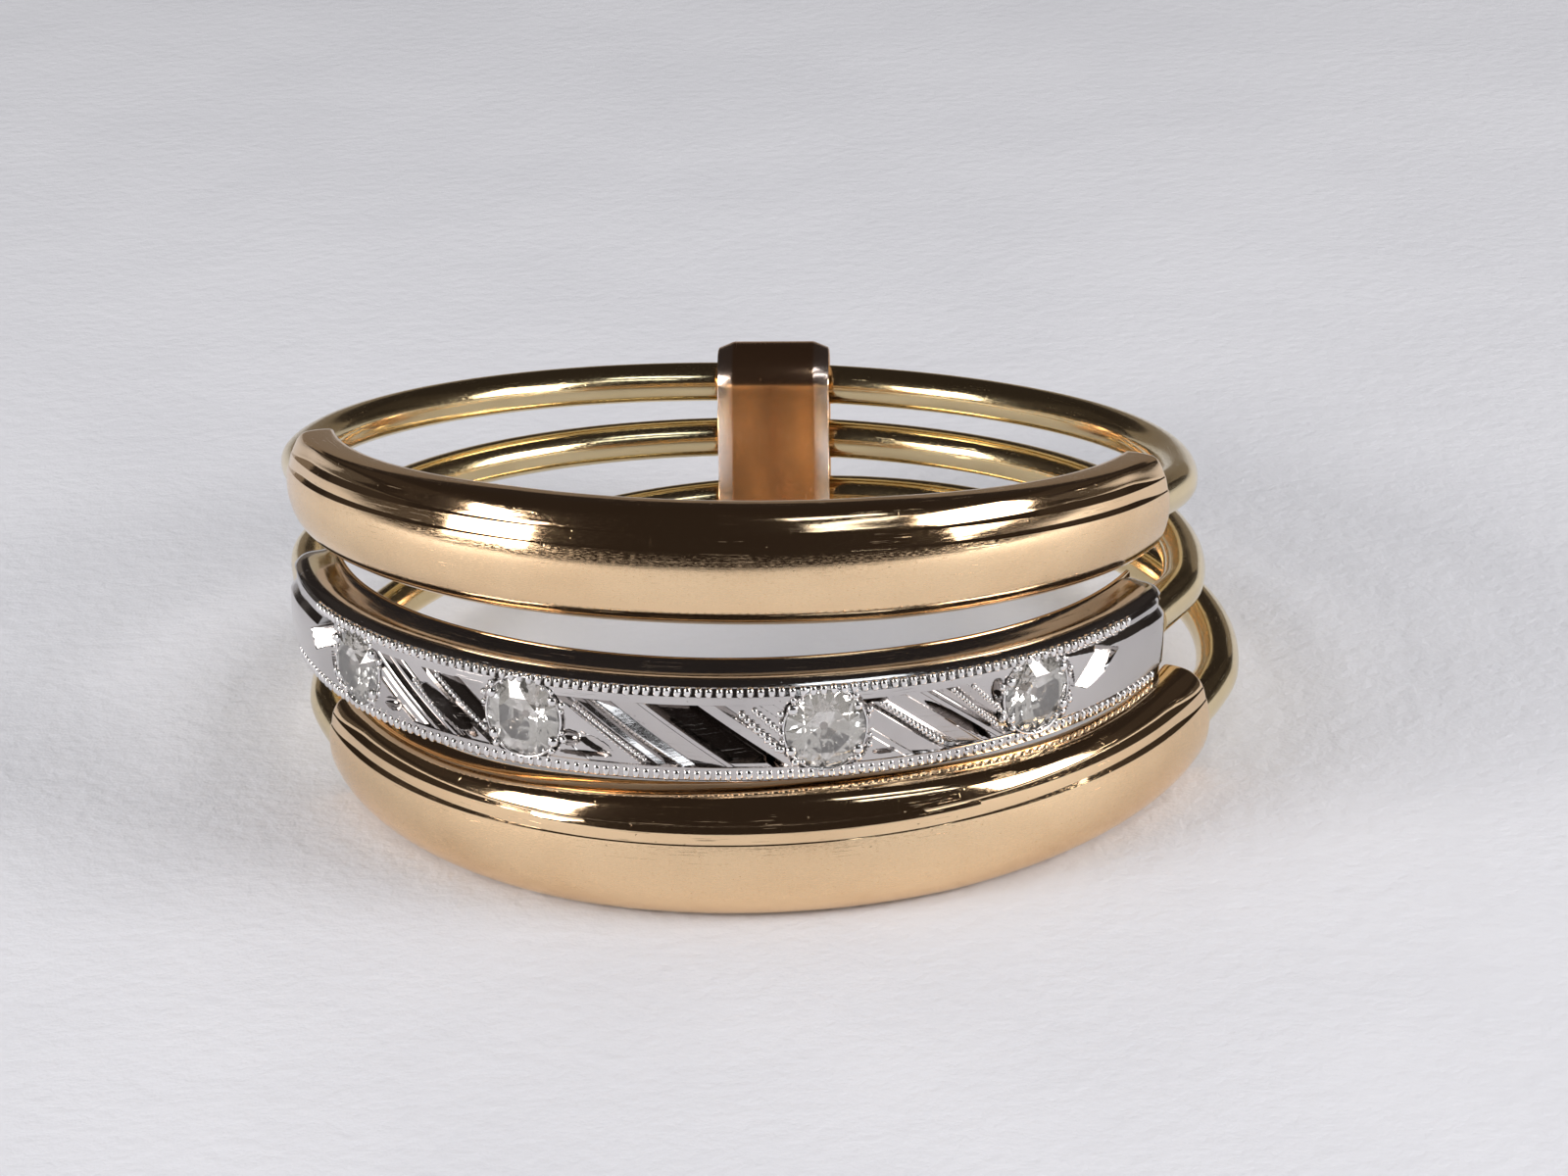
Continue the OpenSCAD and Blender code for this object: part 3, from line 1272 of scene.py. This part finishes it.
@dataclass
class Stone:
    """A round stone of the plain old cut, with its table outward.

    Attributes:
        plate: The plate that holds it.
        number: Its number, from the left.
        girdle_r: Radius of its girdle.
        table_r: Radius of its table.
        crown: Height of the table above the girdle.
        kite: Share of the crown at which the kite facets have their corners.
        girdle: Height of the girdle.
        pavilion: Depth of the tip below the girdle.
        deep: Radius and depth of the lowest ring of corners, as shares of the girdle's and the tip's.
        girdle_out: How far the girdle stands outside the section's line.
    """

    plate: Plate
    number: int
    girdle_r: float = 0.77
    table_r: float = 0.44
    crown: float = 0.165
    kite: float = 0.55
    girdle: float = 0.035
    pavilion: float = 0.63
    deep: tuple[float, float] = (0.34, 0.72)
    girdle_out: float = 0.478

    def build(self, finish: Material) -> None:
        """Builds the stone.

        Args:
            finish: Its finish.
        """
        maker = MeshMaker(f"cut_stone_{self.number}")
        stone_turn = self.plate.stone_turns[self.number - 1]

        def ring(r: float, out: float, count: int, turn: float) -> Array:
            """Evenly spaced points round the stone's axis.

            Args:
                r: Distance from the axis.
                out: Height along it.
                count: Number of points.
                turn: Turn of the first.

            Returns:
                The points, one a row.
            """
            a = np.linspace(0, 2 * np.pi, count, endpoint=False) + math.radians(turn)
            return np.stack([r * np.cos(a), r * np.sin(a), np.full(count, out)], 1)

        base = self.girdle_out
        top = base + self.girdle
        parts = [
            ring(self.table_r, top + self.crown, 8, 22.5),
            ring(0.5 * (self.girdle_r + self.table_r), top + self.kite * self.crown, 8, 0),
            ring(self.girdle_r, top, 16, 0),
            ring(self.girdle_r, base, 16, 0),
            ring(self.deep[0] * self.girdle_r, base - self.deep[1] * self.pavilion, 8, 22.5),
            np.array([[0, 0, base - self.pavilion]])]
        start = np.cumsum([0] + [len(p) for p in parts])
        table, kite, high, low, deep, tip = start[:6]
        faces: list[list[int]] = [[table + k for k in range(8)]]
        for k in range(8):
            after = (k + 1) % 8
            faces += [[table + (k - 1) % 8, kite + k, table + k],
                      [kite + k, high + 2 * k, high + 2 * k + 1, table + k],
                      [table + k, high + 2 * k + 1, high + (2 * k + 2) % 16, kite + after],
                      [deep + k, low + (2 * k + 2) % 16, low + 2 * k + 1],
                      [deep + k, low + 2 * k + 1, low + 2 * k],
                      [deep + k, low + 2 * k, deep + (k - 1) % 8],
                      [tip, deep + k, deep + (k - 1) % 8]]
        faces += [[high + k, low + k, low + (k + 1) % 16, high + (k + 1) % 16] for k in range(16)]
        points = np.concatenate(parts)
        world = self.plate.on_section(0, 0, 0) + np.stack(
            [points[:, 0], -points[:, 2], points[:, 1] - self.plate.drop], 1)
        centre = np.array([0, -self.plate.front_shift, 0])
        world = turned(world - centre, "Z", stone_turn) + centre
        maker.add(self.plate.lay.place(world), faces)
        maker.build(Body.MIDDLE, Slot.STONE, finish, 1, [f"stone_{self.number}"])


@dataclass
class Keeper:
    """The folded strap: thicker along its middle, with a broad slope to both edges."""

    stack: WireStack
    slope: float = 0.34
    drop: float = 0.13
    name: str = "keeper_strap"

    def outline(self) -> Array:
        """The strap's outline, as place along the wires and distance from the loop's line.

        Returns:
            Its points, one a row.
        """
        half, bend, soft = self.stack.strap_w / 2, 0.03, 0.02

        def side(level: float, inward: int) -> Array:
            """One surface of the strap, from its flat middle to its edge.

            Args:
                level: Distance of the flat middle from the loop's line.
                inward: 1 if it slopes away from that line, -1 if toward it.

            Returns:
                Its points, one a row.
            """
            start, fall = half - self.slope, self.drop * inward
            return np.array([[start - bend, level], [start + bend, level + 0.4 * bend * inward],
                             [half - soft, level + fall], [half, level + fall + soft * inward]])

        inner, outer = side(self.stack.inner, 1), side(self.stack.outer, -1)
        mirrored = [-1, 1]
        return np.concatenate([inner[::-1] * mirrored, inner, outer[::-1], outer * mirrored])

    def build(self, finish: Material) -> None:
        """Builds the strap as one closed loop.

        Args:
            finish: Its finish.
        """
        maker = MeshMaker(self.name)
        outline = self.outline()
        reach = self.stack.level(2)
        round_end = np.linspace(0, np.pi, 37)
        straight = np.linspace(0, reach, 12)[1:-1]
        level, flat = np.ones_like(straight), np.ones_like(round_end)
        turns = np.concatenate([round_end, np.pi * level, round_end + np.pi, 2 * np.pi * level])
        lifts = np.concatenate([reach * flat, reach - straight, 0 * flat, straight])
        n = outline[None, :, 1]
        y = n * np.cos(turns)[:, None]
        z = n * np.sin(turns)[:, None] + lifts[:, None]
        x = outline[None, :, 0] + 0 * y
        rings = np.stack([x, y, z], -1)
        rings = np.concatenate([rings, rings[:1]])
        for axis, degrees in (("X", -self.stack.lean), ("Y", self.stack.roll), ("Z", self.stack.yaw)):
            rings = turned(rings, axis, degrees)
        bow = self.stack.strap_w**2 / (16 * self.stack.line_r)
        rings = rings + self.stack.seat(0) - [0, bow, 0]
        length = distances(rings[:, 0])
        # The mark paints a pale highlight on the strap's sloped outer edges.
        painted_edge_highlight = np.array([0] * 8 + [1, 1, 0.7, 0, 0, 0.7, 1, 1])
        maker.sweep(rings, length, caps=False, mark=painted_edge_highlight)
        maker.build(Body.MIDDLE, Slot.KEEPER, finish, 20, ["keeper"])


@dataclass
class Studio:
    """The sheet, the lights and the camera, with its focal length and frame in picture points."""

    target: tuple[float, float, float] = (0.455, -0.405, 2.70)
    elevation: float = 23.13
    distance: float = 85.0
    focal_px: float = 4211.0
    frame_px: float = 1600.0
    roll: float = -2.85

    def camera(self) -> None:
        """Places the camera at the photograph's angle."""
        e = math.radians(self.elevation)
        back = Vector((0, -math.cos(e), math.sin(e)))
        right = Vector((1, 0, 0))
        up = right.cross(-back)
        r = math.radians(self.roll)
        side = math.cos(r) * right + math.sin(r) * up
        rise = side.cross(-back)
        turn = Matrix((side, rise, back)).transposed()
        data = bpy.data.cameras.new("camera")
        data.sensor_width = 36.0
        data.lens = self.focal_px / self.frame_px * data.sensor_width
        data.clip_start, data.clip_end = 0.001, 20.0
        camera = bpy.data.objects.new("camera", data)
        place = (Vector(self.target) + back * self.distance) * MM
        camera.matrix_world = Matrix.Translation(place) @ turn.to_4x4()
        bpy.context.scene.collection.objects.link(camera)
        bpy.context.scene.camera = camera

    def floor(self, finish: Material) -> None:
        """Lays a flat sheet under the ring.

        Args:
            finish: Its finish.
        """
        reach = 3000 * MM
        mesh = bpy.data.meshes.new("sheet")
        corners = ((-reach, -reach, 0), (reach, -reach, 0), (reach, reach, 0), (-reach, reach, 0))
        mesh.from_pydata(corners, [], [(0, 1, 2, 3)])
        mesh.materials.append(finish)
        sheet = bpy.data.objects.new("sheet", mesh)
        bpy.context.scene.collection.objects.link(sheet)

    def panel(self, name: str, azimuth: float, elevation: float, distance: float, size: tuple[float, float],
              power: float, colour: tuple[float, float, float] = (1, 1, 1), on_sheet: bool = False) -> None:
        """Hangs a flat light that faces the ring.

        Args:
            name: The light's name.
            azimuth: Degrees from the front, positive to the right.
            elevation: Degrees above the floor.
            distance: Distance from the ring.
            size: Width and height.
            power: Power in watts.
            colour: The light's colour.
            on_sheet: Whether it lights the sheet as well as showing in the polish.
        """
        data = bpy.data.lights.new(name, "AREA")
        data.shape = "RECTANGLE"
        data.size, data.size_y = size[0] * MM, size[1] * MM
        data.energy, data.color = power, colour
        a, e = math.radians(azimuth), math.radians(elevation)
        away = Vector((math.sin(a) * math.cos(e), -math.cos(a) * math.cos(e), math.sin(e)))
        lamp = bpy.data.objects.new(name, data)
        lamp.location = away * distance * MM
        lamp.rotation_euler = away.to_track_quat("Z", "Y").to_euler()
        lamp.visible_camera = False
        lamp.visible_diffuse = on_sheet
        bpy.context.scene.collection.objects.link(lamp)

    def pool(self, side: int) -> None:
        """Lights the sheet to one side in front, outside the frame, for the polish to mirror.

        Args:
            side: -1 for the left, 1 for the right.
        """
        data = bpy.data.lights.new("pool", "AREA")
        data.size, data.energy = 50 * MM, 0.022
        a, away, height = math.radians(70 * side), 95, 50
        lamp = bpy.data.objects.new("pool", data)
        lamp.location = Vector((math.sin(a) * away, -math.cos(a) * away, height)) * MM
        lamp.visible_glossy = lamp.visible_camera = False
        bpy.context.scene.collection.objects.link(lamp)

    def lights(self) -> None:
        """Sets an even overhead light and the panels that the polish mirrors."""
        sky = bpy.data.lights.new("overhead", "SUN")
        sky.energy, sky.angle = 1.38, math.radians(168)
        lamp = bpy.data.objects.new("overhead", sky)
        lamp.rotation_euler = (math.radians(12), math.radians(3), 0)
        lamp.visible_glossy = False
        bpy.context.scene.collection.objects.link(lamp)
        self.panel("left_panel", -64, 20, 190, (80, 84), 0.20, (1.0, 0.95, 0.92), on_sheet=True)
        self.panel("right_panel", 70, 20, 190, (92, 84), 0.22, (1.0, 0.95, 0.92), on_sheet=True)
        self.panel("front_strip_low", 37, 37, 200, (84, 14), 0.012, (0.86, 0.93, 1.0))
        self.panel("front_strip_high", 37, 51, 200, (80, 22), 0.02, (0.86, 0.93, 1.0))
        self.panel("wall_back", 180, 7, 320, (440, 78), 0.019, (1.0, 0.86, 0.72))
        for side in (-1, 1):
            self.panel("wall_low", 180 + 75 * side, 4.5, 320, (460, 50), 0.004, (1.0, 0.94, 0.88))
            self.panel("wall_high", 180 + 60 * side, 26, 330, (300, 110), 0.0015, (1.0, 0.86, 0.74))
            self.pool(side)
        world = bpy.data.worlds.new("room")
        world.use_nodes = True
        room = world.node_tree.nodes["Background"]
        room.inputs["Color"].default_value = (0.026, 0.021, 0.019, 1)
        room.inputs["Strength"].default_value = 1.0
        bpy.context.scene.world = world
        bpy.context.scene.view_settings.view_transform = "Standard"

    def build(self, finish: Material) -> None:
        """Sets up the whole studio, its sheet in the given finish.

        Args:
            finish: The sheet's finish.
        """
        self.camera()
        self.floor(finish)
        self.lights()


def main() -> None:
    """Builds the ring piece by piece, then the studio round it."""
    logging.basicConfig(level=logging.INFO, format="%(name)s %(message)s")
    yellow = Gold("yellow_gold_polish", colour=(0.92, 0.67, 0.41, 1), dull=(0.79, 0.54, 0.31, 1),
                  gloss=0.05, veil=0.07, rubbed=0.21).make()
    shank = Gold("shank_polish", colour=(0.88, 0.72, 0.43, 1), dull=(0.66, 0.52, 0.29, 1),
                 gloss=0.08).make()
    white = Gold("white_gold_polish", colour=(0.64, 0.61, 0.59, 1), dull=(0.48, 0.45, 0.44, 1),
                 gloss=0.06, veil=0.10, mark_tint_and_highlight=(0.24, 0.21, 0.19, 1)).make()
    bright = Gold("bright_cut", colour=(0.84, 0.82, 0.81, 1), dull=(0.70, 0.68, 0.66, 1),
                  gloss=0.12, wear=0.08).make()
    # The keeper's mark colour is a painted highlight on its sloped edges.
    rosy = Gold("keeper_polish", colour=(0.88, 0.56, 0.34, 1), dull=(0.68, 0.41, 0.24, 1), gloss=0.14,
                wear=0.10, veil=0.06, depth=0.0006, mark_tint_and_highlight=(1.0, 0.84, 0.74, 1)).make()
    gem = Gem("old_cut_stone").make()

    lower_half, rest_reach = 1.2, 18.7
    rest = -math.degrees(math.asin((lower_half - STACK.outer) / rest_reach))
    lower = Lay(level=0, tilt=rest, roll=0.0, yaw=-1.2, slide=-1.8, share=1.0)
    middle = Lay(level=1, tilt=-3.75, roll=2.2, yaw=-4.4, slide=-4.6, share=0.985)
    upper = Lay(level=2, tilt=-9.4, roll=3.4, yaw=-5.15, slide=-1.2, share=0.98)
    DomedBand(upper, height=2.3, span=76, wire_name="upper_shank", name="upper_band_gold",
              node="upper_band", body=Body.UPPER).build(yellow, shank)
    DomedBand(lower, height=2.4, span=71.5, wire_name="lower_shank", name="lower_band_gold",
              node="lower_band", body=Body.LOWER, lines=(0.45, 0.73), corner=-0.04, swell=0.19,
              sag=0.14).build(yellow, shank)
    MiddleBand(middle, height=2.1, span=76, wire_name="middle_shank", sag=-0.15).build(yellow, shank)
    plate = Plate(middle, height=2.0, span=74.5)
    plate.build(white)
    plate.grains(bright)
    plate.setting_beads(bright)
    for number in range(1, 5):
        Stone(plate, number).build(gem)
    Keeper(STACK).build(rosy)
    Studio().build(Sheet().make())


if __name__ == "__main__":
    main()
